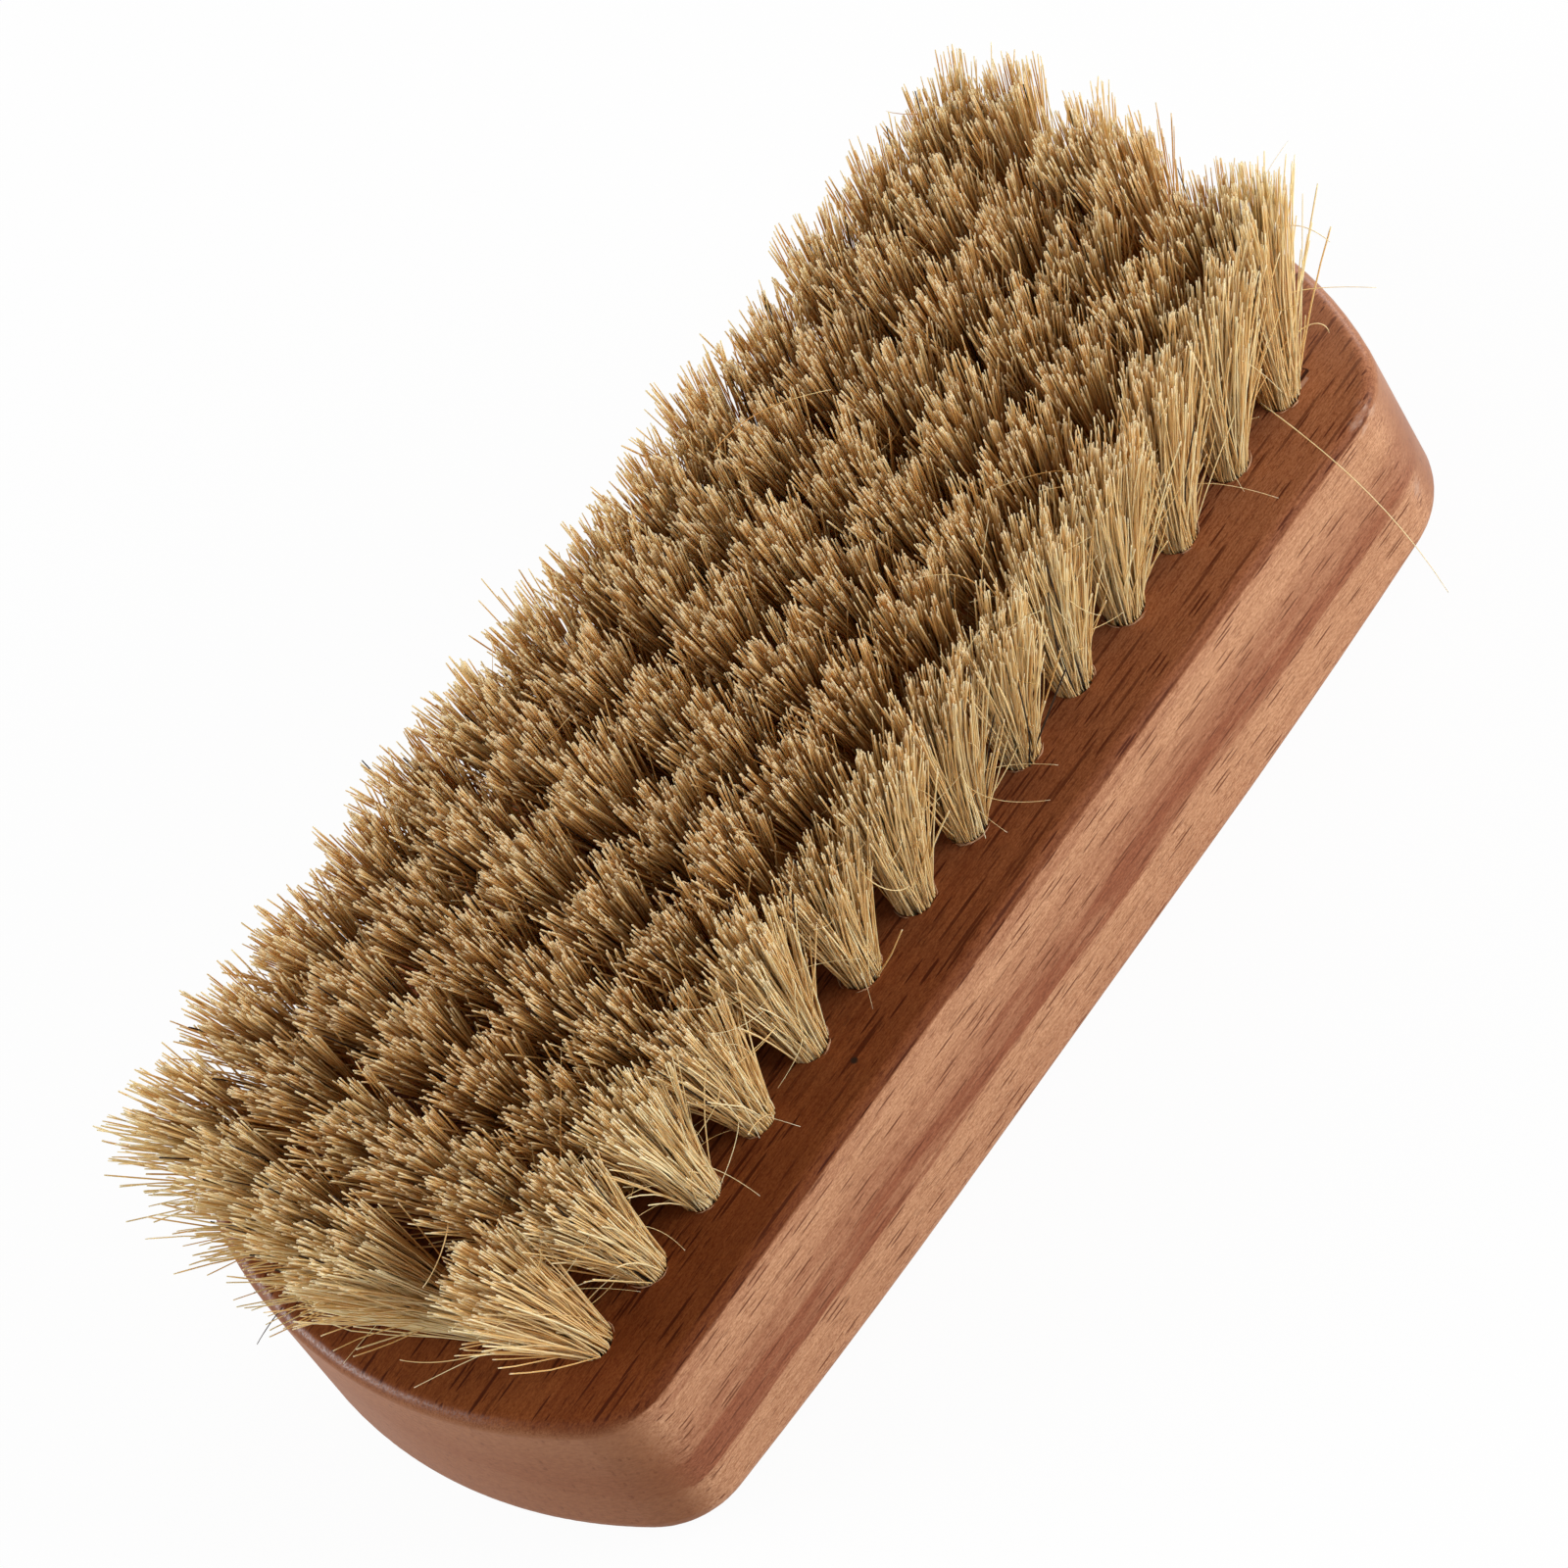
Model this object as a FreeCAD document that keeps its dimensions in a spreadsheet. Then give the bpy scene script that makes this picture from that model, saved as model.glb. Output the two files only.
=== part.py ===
import FreeCAD, Part
import os

import Sketcher

# A shoe shine brush: a wooden block drilled with rows of blind holes, a tuft of bristles in every hole
# and a flat wire anchor through the fold of every tuft.
# The block lies on its back with the bristles up. The origin is on the resting plane under the middle
# of the block, X runs along the block and Y across it.

# Driving dimensions in millimetres, each as its name, its value and what it measures.
SIZES = [
    ("block_length", 150.0, "block, over the two rounded ends"),
    ("block_width", 59.0, "block, across the straight sides"),
    ("block_height", 26.4, "from the resting land to the bristle face"),
    ("end_rise", 9.6, "how far each end arc stands out past the corners"),
    ("corner_radius", 9.8, "plan rounding between a side and an end"),
    ("land_length", 44.0, "flat part of the back, along the block"),
    ("crown_drop", 3.0, "how much thinner the block is at each end"),
    ("crown_overrun", 4.0, "how far the crowning cut runs past the ends"),
    ("back_edge_radius", 3.0, "rounding of the edge round the back"),
    ("face_edge_radius", 1.6, "rounding of the edge round the bristle face"),
    ("row_count", 6, "rows of tufts across the block"),
    ("column_count", 14, "tufts in each row"),
    ("side_margin", 9.9, "from a straight side to the outer row's centres"),
    ("end_margin", 11.2, "from an end arc to the last tuft's centre, along X"),
    ("hole_diameter", 4.6, "drilled hole for one tuft"),
    ("hole_depth", 12.0, "drilled hole, below the bristle face"),
    ("tuft_clearance", 0.1, "between a tuft and the wall of its hole"),
    ("bristle_length", 24.7, "from the bristle face to the trimmed tips"),
    ("end_lean", 5.5, "how far the tips of the end tufts lean out, along X"),
    ("side_lean", 1.8, "how far the tips of the outer rows lean out, along Y"),
    ("tip_gap_along", 1.2, "between neighbouring tuft tips in one row"),
    ("tip_gap_across", 2.1, "between neighbouring tuft tips in one column"),
    ("anchor_bite", 0.5, "how far each end of an anchor cuts into the wood"),
    ("anchor_thickness", 0.4, "anchor strip"),
    ("anchor_height", 1.8, "anchor strip"),
    ("anchor_clearance", 0.05, "between an anchor and the bristles folded round it"),
    ("fold_depth", 1.2, "bristles folded under an anchor"),
]

END_RADIUS = "((Sizes.block_width / 2)^2 + Sizes.end_rise^2) / (2 * Sizes.end_rise)"
CROWN_RUN = "(Sizes.block_length - Sizes.land_length) / 2"
CROWN_RADIUS = f"(({CROWN_RUN})^2 + Sizes.crown_drop^2) / (2 * Sizes.crown_drop)"
HOLE_FLOOR = "Sizes.block_height - Sizes.hole_depth"
TIP_HEIGHT = "Sizes.block_height + Sizes.bristle_length"
ROOT_RADIUS = "Sizes.hole_diameter / 2 - Sizes.tuft_clearance"
ANCHOR_LENGTH = "Sizes.hole_diameter + 2 * Sizes.anchor_bite"
ANCHOR_FLOOR = f"{HOLE_FLOOR} + Sizes.fold_depth"
ANCHOR_TOP = f"{ANCHOR_FLOOR} + Sizes.anchor_height"
SKETCH_AXIS = {"x": -1, "y": -2}


def make_sheet(doc):
    """Put every driving dimension in a cell that has the dimension's name."""
    sheet = doc.addObject("Spreadsheet::Sheet", "Sizes")
    for line, (name, value, meaning) in enumerate(SIZES, start=1):
        sheet.set(f"A{line}", name)
        sheet.set(f"B{line}", str(value))
        sheet.set(f"C{line}", meaning)
        sheet.setAlias(f"B{line}", name)
    doc.recompute()
    return sheet


def share(index, count_name):
    """From -1 at the first of a run of places to 1 at the last."""
    return f"(2 * {index} / (Sizes.{count_name} - 1) - 1)"


def row_place(row):
    """Y of a row's hole centres."""
    return f"(Sizes.block_width / 2 - Sizes.side_margin) * {share(row, 'row_count')}"


def row_reach(row):
    """X of a row's last hole centre, which keeps its margin to the end arc."""
    arc_retreat = f"({END_RADIUS} - sqrt(({END_RADIUS})^2 - ({row_place(row)})^2))"
    return f"(Sizes.block_length / 2 - Sizes.end_margin - {arc_retreat})"


def hole_place(row, column):
    """X and Y of one hole's centre."""
    return f"{row_reach(row)} * {share(column, 'column_count')}", row_place(row)


def tip_place(row, column):
    """X and Y of the middle of one tuft's trimmed tip."""
    hole_x, hole_y = hole_place(row, column)
    tip_x = f"{hole_x} + Sizes.end_lean * {share(column, 'column_count')}"
    tip_y = f"{hole_y} + Sizes.side_lean * {share(row, 'row_count')}"
    return tip_x, tip_y


def tip_radii(row):
    """Half the tip's length along X and half its width along Y."""
    step_along = f"2 * ({row_reach(row)} + Sizes.end_lean) / (Sizes.column_count - 1)"
    row_span = "(Sizes.block_width / 2 - Sizes.side_margin + Sizes.side_lean)"
    step_across = f"2 * {row_span} / (Sizes.row_count - 1)"
    return f"({step_along} - Sizes.tip_gap_along) / 2", f"({step_across} - Sizes.tip_gap_across) / 2"


def place(item, across_x, across_y, up_z, holder="Placement"):
    """Bind an object's position to three expressions."""
    item.setExpression(f"{holder}.Base.x", across_x)
    item.setExpression(f"{holder}.Base.y", across_y)
    item.setExpression(f"{holder}.Base.z", up_z)


def origin_feature(body, role):
    return next(item for item in body.Origin.OriginFeatures if item.Role == role)


def new_sketch(body, name, plane):
    sketch = body.newObject("Sketcher::SketchObject", name)
    sketch.AttachmentSupport = [(origin_feature(body, plane), "")]
    sketch.MapMode = "FlatFace"
    return sketch


def size_constraint(sketch, kind, parts, value, name, expression):
    """Add a dimension to a sketch and bind it to an expression."""
    index = sketch.addConstraint(Sketcher.Constraint(kind, *parts, value))
    sketch.renameConstraint(index, name)
    sketch.setExpression(f"Constraints.{name}", expression)


def point(x, y):
    return FreeCAD.Vector(x, y, 0)


def draw_plan(body, sheet):
    """Plan of the block: two straight sides and two convex end arcs."""
    sketch = new_sketch(body, "plan", "XY_Plane")
    half_width = sheet.block_width / 2
    corner = sheet.block_length / 2 - sheet.end_rise
    end_radius = (half_width ** 2 + sheet.end_rise ** 2) / (2 * sheet.end_rise)
    centre = sheet.block_length / 2 - end_radius
    front = sketch.addGeometry(Part.LineSegment(point(-corner, -half_width), point(corner, -half_width)))
    right = sketch.addGeometry(
        Part.Arc(point(corner, -half_width), point(centre + end_radius, 0), point(corner, half_width)))
    rear = sketch.addGeometry(Part.LineSegment(point(corner, half_width), point(-corner, half_width)))
    left = sketch.addGeometry(
        Part.Arc(point(-corner, half_width), point(-centre - end_radius, 0), point(-corner, -half_width)))
    loop = [front, right, rear, left]
    for first, second in zip(loop, loop[1:] + loop[:1]):
        sketch.addConstraint(Sketcher.Constraint("Coincident", first, 2, second, 1))
    sketch.addConstraint(Sketcher.Constraint("Symmetric", front, 1, front, 2, SKETCH_AXIS["y"]))
    sketch.addConstraint(Sketcher.Constraint("Symmetric", front, 2, rear, 1, SKETCH_AXIS["x"]))
    sketch.addConstraint(Sketcher.Constraint("Horizontal", rear))
    sketch.addConstraint(Sketcher.Constraint("Equal", right, left))
    size_constraint(sketch, "DistanceY", (front, 2, rear, 1), 2 * half_width, "width", "Sizes.block_width")
    size_constraint(sketch, "DistanceX", (front, 1, front, 2), 2 * corner, "side",
                    "Sizes.block_length - 2 * Sizes.end_rise")
    size_constraint(sketch, "Radius", (right,), end_radius, "end_arc", END_RADIUS)
    return sketch


def draw_crown(body, sheet):
    """Side view of the wood taken off the back of one end, outside an arc that is tangent to the land."""
    sketch = new_sketch(body, "crown", "XZ_Plane")
    start = sheet.land_length / 2
    run = sheet.block_length / 2 - start
    radius = (run ** 2 + sheet.crown_drop ** 2) / (2 * sheet.crown_drop)
    far_run = run + sheet.crown_overrun
    far = start + far_run

    def rise(along):
        return radius - (radius ** 2 - along ** 2) ** 0.5

    arc = sketch.addGeometry(
        Part.Arc(point(start, 0), point(start + far_run / 2, rise(far_run / 2)), point(far, rise(far_run))))
    upright = sketch.addGeometry(Part.LineSegment(point(far, rise(far_run)), point(far, 0)))
    floor = sketch.addGeometry(Part.LineSegment(point(far, 0), point(start, 0)))
    sketch.addConstraint(Sketcher.Constraint("Coincident", arc, 2, upright, 1))
    sketch.addConstraint(Sketcher.Constraint("Coincident", upright, 2, floor, 1))
    sketch.addConstraint(Sketcher.Constraint("Coincident", floor, 2, arc, 1))
    sketch.addConstraint(Sketcher.Constraint("Vertical", upright))
    sketch.addConstraint(Sketcher.Constraint("PointOnObject", floor, 1, SKETCH_AXIS["x"]))
    sketch.addConstraint(Sketcher.Constraint("PointOnObject", floor, 2, SKETCH_AXIS["x"]))
    sketch.addConstraint(Sketcher.Constraint("Vertical", arc, 1, arc, 3))
    size_constraint(sketch, "DistanceX", (SKETCH_AXIS["x"], 1, floor, 2), start, "land",
                    "Sizes.land_length / 2")
    size_constraint(sketch, "DistanceX", (floor, 2, floor, 1), far_run, "run",
                    f"{CROWN_RUN} + Sizes.crown_overrun")
    size_constraint(sketch, "Radius", (arc,), radius, "crown_arc", CROWN_RADIUS)
    return sketch


def round_edges(body, name, radius, chosen):
    """Round the edges of the block so far that the given test picks."""
    body.Document.recompute()
    base = body.Tip
    names = [f"Edge{number}" for number, edge in enumerate(base.Shape.Edges, start=1) if chosen(edge)]
    fillet = body.newObject("PartDesign::Fillet", name)
    fillet.Base = (base, names)
    fillet.setExpression("Radius", radius)
    body.Document.recompute()
    return fillet


def make_blank(doc, sheet):
    """The shaped block before it is drilled."""
    body = doc.addObject("PartDesign::Body", "block_blank")
    blank = body.newObject("PartDesign::Pad", "blank")
    blank.Profile = draw_plan(body, sheet)
    blank.setExpression("Length", "Sizes.block_height")
    doc.recompute()
    blank_volume = blank.Shape.Volume
    crown_cut = body.newObject("PartDesign::Pocket", "crown_cut")
    crown_cut.Profile = draw_crown(body, sheet)
    crown_cut.Type = "ThroughAll"
    crown_cut.Midplane = True
    both_ends = body.newObject("PartDesign::Mirrored", "both_ends")
    both_ends.Originals = [crown_cut]
    both_ends.MirrorPlane = (origin_feature(body, "YZ_Plane"), [""])
    body.Tip = both_ends
    doc.recompute()
    print(f"crowning took {blank_volume - body.Shape.Volume:.0f} cubic millimetres off the back")

    face = float(sheet.block_height)
    tolerance = 1e-4

    def upright(edge):
        box = edge.BoundBox
        return box.XLength < tolerance and box.YLength < tolerance

    def on_face(edge):
        return edge.BoundBox.ZMin > face - tolerance

    def on_back(edge):
        box = edge.BoundBox
        across = box.YLength > box.XLength and abs(box.YMin + box.YMax) < tolerance
        inside = abs(box.XMax) < float(sheet.land_length) / 2 + tolerance
        return box.ZMax < 2 * float(sheet.crown_drop) and not (across and inside)

    round_edges(body, "round_corners", "Sizes.corner_radius", upright)
    round_edges(body, "round_face", "Sizes.face_edge_radius", on_face)
    round_edges(body, "round_back", "Sizes.back_edge_radius", on_back)
    return body


def make_drill(doc, row, column):
    """The round hole for one tuft, from the bristle face down."""
    drill = doc.addObject("Part::Cylinder", f"drill_{row + 1}_{column + 1}")
    drill.setExpression("Radius", "Sizes.hole_diameter / 2")
    drill.setExpression("Height", "Sizes.hole_depth")
    place(drill, *hole_place(row, column), HOLE_FLOOR)
    return drill


def make_block(doc, blank, grid, anchors):
    """The wooden block, with a hole for every tuft and the slots that the anchors cut in their walls."""
    drills = [make_drill(doc, row, column) for row, column in grid]
    block = doc.addObject("Part::Cut", "drilled_block")
    block.Base = blank
    block.Tool = gather(doc, "drills", drills + [anchors])
    block.Label = "brush_block"
    return block


def make_tuft(doc, row, column):
    """One tuft: straight in its hole, then flaring and leaning out to a level trimmed tip."""
    mark = f"{row + 1}_{column + 1}"
    hole_x, hole_y = hole_place(row, column)
    sections = []
    for name, height in (("root", HOLE_FLOOR), ("mouth", "Sizes.block_height")):
        ring = doc.addObject("Part::Circle", f"{name}_{mark}")
        ring.setExpression("Radius", ROOT_RADIUS)
        place(ring, hole_x, hole_y, height)
        sections.append(ring)
    tip = doc.addObject("Part::Ellipse", f"tip_{mark}")
    tip_along, tip_across = tip_radii(row)
    tip.setExpression("MajorRadius", tip_along)
    tip.setExpression("MinorRadius", tip_across)
    place(tip, *tip_place(row, column), TIP_HEIGHT)
    sections.append(tip)
    tuft = doc.addObject("Part::Loft", f"tuft_{mark}")
    tuft.Sections = sections
    tuft.Solid = True
    tuft.Ruled = True
    return tuft


def make_strip(doc, name, row, column, clearance):
    """Flat strip across one hole, the size of an anchor and a clearance all round its section."""
    strip = doc.addObject("Part::Box", f"{name}_{row + 1}_{column + 1}")
    hole_x, hole_y = hole_place(row, column)
    strip.setExpression("Length", ANCHOR_LENGTH)
    strip.setExpression("Width", f"Sizes.anchor_thickness + 2 * {clearance}")
    strip.setExpression("Height", f"Sizes.anchor_height + 2 * {clearance}")
    place(strip, f"{hole_x} - ({ANCHOR_LENGTH}) / 2", f"{hole_y} - Sizes.anchor_thickness / 2 - {clearance}",
          f"{ANCHOR_FLOOR} - {clearance}")
    return strip


def gather(doc, name, items):
    group = doc.addObject("Part::Compound", name)
    group.Links = items
    return group


def make_tuft_column(doc, rows, column):
    """The tufts that stand side by side across the block, each with a window for its anchor."""
    tufts = gather(doc, f"tufts_{column + 1}", [make_tuft(doc, row, column) for row in rows])
    windows = gather(doc, f"windows_{column + 1}",
                     [make_strip(doc, "window", row, column, "Sizes.anchor_clearance") for row in rows])
    folded = doc.addObject("Part::Cut", f"column_{column + 1}")
    folded.Base = tufts
    folded.Tool = windows
    folded.Label = f"tuft_column_{column + 1:02d}"
    return folded


def make_anchors(doc, grid):
    """The flat wire anchors, one across every hole, all alike."""
    anchors = gather(doc, "anchors", [make_strip(doc, "anchor", row, column, "0") for row, column in grid])
    anchors.Label = "tuft_anchors"
    return anchors


def check(doc, subparts):
    """Stop if any object failed or any sub-part has no sound shape."""
    for item in doc.Objects:
        if "Invalid" in item.State or "Error" in item.State:
            raise RuntimeError(f"{item.Label} failed: {item.State}")
    for item in subparts:
        if item.Shape.isNull() or not item.Shape.isValid():
            raise RuntimeError(f"{item.Label} has no valid shape")


def main():
    doc = FreeCAD.newDocument("brush")
    sheet = make_sheet(doc)
    rows = range(int(sheet.row_count))
    columns = range(int(sheet.column_count))
    grid = [(row, column) for column in columns for row in rows]
    anchors = make_anchors(doc, grid)
    block = make_block(doc, make_blank(doc, sheet), grid, anchors)
    tufts = [make_tuft_column(doc, rows, column) for column in columns]
    subparts = [block, anchors] + tufts
    doc.recompute()
    check(doc, subparts)
    os.makedirs("parts", exist_ok=True)
    for item in subparts:
        item.Shape.exportStep(f"parts/{item.Label}.step")
        print(f"{item.Label}: {len(item.Shape.Solids)} solids, {item.Shape.Volume:.0f} cubic millimetres")


main()
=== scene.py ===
# %% [markdown]
# # A shoe shine brush
# A beech block lies on its back, and 84 tufts of pale bristle stand up from its drilled face.
# The packed CAD model comes in first and stays as it is: it gives the block its shape and the holes
# their places. The steps below dress it: wood for the block, thousands of single bristles in place of
# the plain tufts, the loose hairs and torn fibres of a new brush, and the light of a small studio.

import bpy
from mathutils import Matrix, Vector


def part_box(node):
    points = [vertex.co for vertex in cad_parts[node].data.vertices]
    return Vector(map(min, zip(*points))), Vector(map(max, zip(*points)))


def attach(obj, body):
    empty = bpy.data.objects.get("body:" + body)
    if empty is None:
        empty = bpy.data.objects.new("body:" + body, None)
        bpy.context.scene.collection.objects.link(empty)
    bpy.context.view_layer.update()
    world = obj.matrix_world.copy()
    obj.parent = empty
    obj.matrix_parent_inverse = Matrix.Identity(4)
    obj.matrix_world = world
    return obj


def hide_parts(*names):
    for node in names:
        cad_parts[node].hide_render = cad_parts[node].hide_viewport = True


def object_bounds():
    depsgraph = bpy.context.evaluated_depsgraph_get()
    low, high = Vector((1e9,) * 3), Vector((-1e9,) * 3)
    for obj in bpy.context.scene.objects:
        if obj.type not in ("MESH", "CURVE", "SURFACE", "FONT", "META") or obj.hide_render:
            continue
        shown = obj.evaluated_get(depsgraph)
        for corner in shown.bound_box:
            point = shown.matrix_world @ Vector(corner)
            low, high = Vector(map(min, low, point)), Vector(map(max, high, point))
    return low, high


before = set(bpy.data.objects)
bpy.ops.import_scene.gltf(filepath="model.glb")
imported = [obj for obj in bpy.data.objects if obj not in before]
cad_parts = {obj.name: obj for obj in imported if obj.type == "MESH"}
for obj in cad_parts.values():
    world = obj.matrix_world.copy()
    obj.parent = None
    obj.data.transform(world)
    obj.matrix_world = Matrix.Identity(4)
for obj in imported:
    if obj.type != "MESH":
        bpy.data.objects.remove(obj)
cad_low, cad_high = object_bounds()
print("CAD box from", list(cad_low), "to", list(cad_high))

# %% Tools and units
import math

import bmesh
import bpy
import numpy as np
from mathutils import Matrix, Vector

MM = 0.001
SEED = 1884
scene = bpy.context.scene
rng = np.random.default_rng(SEED)
print("a millimetre is", MM, "units, and chance starts from seed", SEED)

# %% [markdown]
# ## The camera
# The picture is taken from far off with a long lens, from the near left and high up, and the camera is
# rolled so that the block runs from the bottom of the picture to its top right corner.
# A camera could be turned with Euler angles, but three plain angles say more: where it stands round the
# object, how high, and how far it is rolled. The matrix is put together from the view's own axes.

# %% Camera
VIEW_AZIMUTH = math.radians(-23.4)
VIEW_ELEVATION = math.radians(54.42)
VIEW_ROLL = math.radians(34.39)
VIEW_DISTANCE = 973.3 * MM
VIEW_AIM = Vector((-0.6, 0.5, 26.6)) * MM
LENS = 222.5
SENSOR = 36.0


def view_matrix(azimuth, elevation, roll, distance, aim):
    """The place and the axes of a camera that looks at a point from a given side."""
    level = math.cos(elevation)
    back = Vector((math.sin(azimuth) * level, -math.cos(azimuth) * level, math.sin(elevation)))
    right = Vector((0, 0, 1)).cross(back).normalized()
    up = back.cross(right)
    turned_right = right * math.cos(roll) - up * math.sin(roll)
    turned_up = right * math.sin(roll) + up * math.cos(roll)
    axes = Matrix((turned_right, turned_up, back)).transposed().to_4x4()
    return Matrix.Translation(aim + back * distance) @ axes


camera_data = bpy.data.cameras.new("camera")
camera_data.lens = LENS
camera_data.sensor_width = SENSOR
camera = bpy.data.objects.new("camera", camera_data)
camera.matrix_world = view_matrix(VIEW_AZIMUTH, VIEW_ELEVATION, VIEW_ROLL, VIEW_DISTANCE, VIEW_AIM)
scene.collection.objects.link(camera)
scene.camera = camera
print("camera at", list(camera.location))

# %% [markdown]
# ## A shader's sums
# A material is a tree of nodes. Wiring it by hand hides the idea behind it, so one small class wraps a
# socket: `1 - mask` adds a Math node, and `node` makes any other kind.

# %% The class that writes node trees
MIX_FACTOR, MIX_A, MIX_B, MIX_RESULT = 0, 6, 7, 2


class Field:
    """One output socket in a node tree, with the sums that a material needs."""

    def __init__(self, tree, plug):
        self.tree = tree
        self.plug = plug

    def node(self, kind, settings=None, inputs=None, output=0):
        """Any node: its settings first, then the values or links of its sockets."""
        made = self.tree.nodes.new(kind)
        for name, value in (settings or {}).items():
            setattr(made, name, value)
        for name, value in (inputs or {}).items():
            if isinstance(value, Field):
                self.tree.links.new(value.plug, made.inputs[name])
            else:
                made.inputs[name].default_value = value
        return Field(self.tree, made.outputs[output])

    def calc(self, operation, *values):
        """A Math node on numbers and fields."""
        return self.node("ShaderNodeMath", {"operation": operation}, dict(enumerate(values)))

    def __add__(self, other):
        return self.calc("ADD", self, other)

    def __sub__(self, other):
        return self.calc("SUBTRACT", self, other)

    def __rsub__(self, other):
        return self.calc("SUBTRACT", other, self)

    def __mul__(self, other):
        return self.calc("MULTIPLY", self, other)

    def __truediv__(self, other):
        return self.calc("DIVIDE", self, other)

    def __pow__(self, other):
        return self.calc("POWER", self, other)

    def __abs__(self):
        return self.calc("ABSOLUTE", self)

    __radd__ = __add__
    __rmul__ = __mul__

    def most(self, other):
        """The larger of this value and another."""
        return self.calc("MAXIMUM", self, other)

    def ease(self, low, high):
        """0 below low, 1 above high and a smooth step between them."""
        return self.node("ShaderNodeMapRange", {"interpolation_type": "SMOOTHSTEP"},
                         {"Value": self, "From Min": low, "From Max": high})

    def mix(self, first, second, blend="MIX"):
        """A colour between two others, with this field as the share of the second."""
        return self.node("ShaderNodeMix", {"data_type": "RGBA", "blend_type": blend},
                         {MIX_FACTOR: self, MIX_A: first, MIX_B: second}, MIX_RESULT)

    def stretch(self, sizes):
        """This vector measured in cells of the given sizes."""
        shares = tuple(1 / size for size in sizes)
        return self.node("ShaderNodeVectorMath", {"operation": "MULTIPLY"}, {0: self, 1: shares})

    def noise(self, detail=2.0, roughness=0.5):
        """Soft random values between 0 and 1."""
        return self.node("ShaderNodeTexNoise", None,
                         {"Vector": self, "Scale": 1.0, "Detail": detail, "Roughness": roughness})

    def cells(self, output="Distance"):
        """How far the nearest of many scattered points is, or a random colour of that point."""
        return self.node("ShaderNodeTexVoronoi", None, {"Vector": self, "Scale": 1.0}, output)

    def near(self, point, low, high):
        """1 closer than low to a point, 0 farther than high."""
        away = self.node("ShaderNodeVectorMath", {"operation": "DISTANCE"}, {0: self, 1: point}, "Value")
        return 1 - away.ease(low, high)

    def named(self, attribute):
        """A number that every point of the mesh carries under a name."""
        return self.node("ShaderNodeAttribute", {"attribute_name": attribute}, None, "Fac")

    def split(self):
        """The three parts of a vector or a colour."""
        parts = self.node("ShaderNodeSeparateXYZ", None, {0: self}).plug.node
        return [Field(self.tree, plug) for plug in parts.outputs]


print("a field can", [name for name in vars(Field) if not name.startswith("_")])

# %% Starting and feeding a material


def new_material(name):
    """A material, its shader node and a field to start from: the place on the piece in millimetres."""
    material = bpy.data.materials.new(name)
    material.use_nodes = True
    tree = material.node_tree
    shader = next(node for node in tree.nodes if node.type == "BSDF_PRINCIPLED")
    start = tree.nodes.new("ShaderNodeTexCoord").outputs["Object"]
    place = Field(tree, start).stretch((MM, MM, MM))
    return material, shader, place


def feed(shader, **fields):
    """Link fields to a shader's sockets, with underscores for the spaces in their names."""
    for name, field in fields.items():
        field.tree.links.new(field.plug, shader.inputs[name.replace("_", " ")])


def constant(shader, **values):
    """Set sockets that are the same all over the surface."""
    for name, value in values.items():
        shader.inputs[name.replace("_", " ")].default_value = value


print("the frame brings", len(bpy.data.materials), "materials of its own")

# %% [markdown]
# ## The wood
# The block is beech under a satin lacquer. Three things make beech: a broad growth ring that crosses the
# side as a reddish band with one sharp edge, short dark flecks where the rays are cut, and fine fibres.
# A picture of wood would need a map on every face. Here the pattern fills space instead, so that the
# sides, the ends and the holes are all cut from the same piece.

# %% The block's own sizes in millimetres
block_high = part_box("brush_block")[1]
FACE = block_high.z / MM
HALF_LENGTH = block_high.x / MM
HALF_WIDTH = block_high.y / MM
END_RISE = 9.6
END_RADIUS = (HALF_WIDTH ** 2 + END_RISE ** 2) / (2 * END_RISE)
print("bristle face at", FACE, "and ends bowed to a radius of", END_RADIUS)

# %% Sizes of the grain in millimetres
PITH = (12.0, -95.0)
RING_STEP = 13.0
RING_START = 112.6
RING_DRIFT = 0.012
RING_FADE = 0.3
OTHER_RINGS = 0.3
WANDER, WANDER_REACH = (70.0, 18.0, 18.0), 2.6
FEATHER, FEATHER_REACH = (20.0, 0.7, 0.7), 3.6
PATCH, PATCH_LEAST, PATCH_MORE = (15.0, 2.2, 2.2), 0.55, 0.6
# Every grain has the sizes of its cells, its detail and its roughness.
GRAIN = {
    "streak": ((90.0, 2.6, 2.6), 2.0, 0.5),
    "fibre": ((26.0, 0.6, 0.6), 3.0, 0.6),
    "fine": ((5.0, 0.16, 0.16), 2.0, 0.5),
    "pores": ((1.0, 0.24, 0.24), 3.0, 0.65),
    "grit": ((0.32, 0.13, 0.13), 2.0, 0.5),
    "cloud": ((45.0, 14.0, 14.0), 2.0, 0.5),
    "mottle": ((0.7, 0.7, 0.35), 4.0, 0.6),
}
# Every fleck has the sizes of its cells and how far it reaches in its cell.
LONG_FLECK = ((7.5, 0.56, 0.56), 0.27)
SHORT_FLECK = ((3.4, 0.42, 0.42), 0.24)
FACE_FLECK = ((15.0, 0.7, 0.7), 0.33)
END_DASH = ((0.8, 0.8, 1.9), 0.24)
print("rings", RING_STEP, "mm apart,", len(GRAIN), "kinds of grain and four kinds of fleck")

# %% Colours of the wood


def colour(red, green, blue):
    """A solid colour, as a shader's socket takes it."""
    return red, green, blue, 1.0


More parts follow.
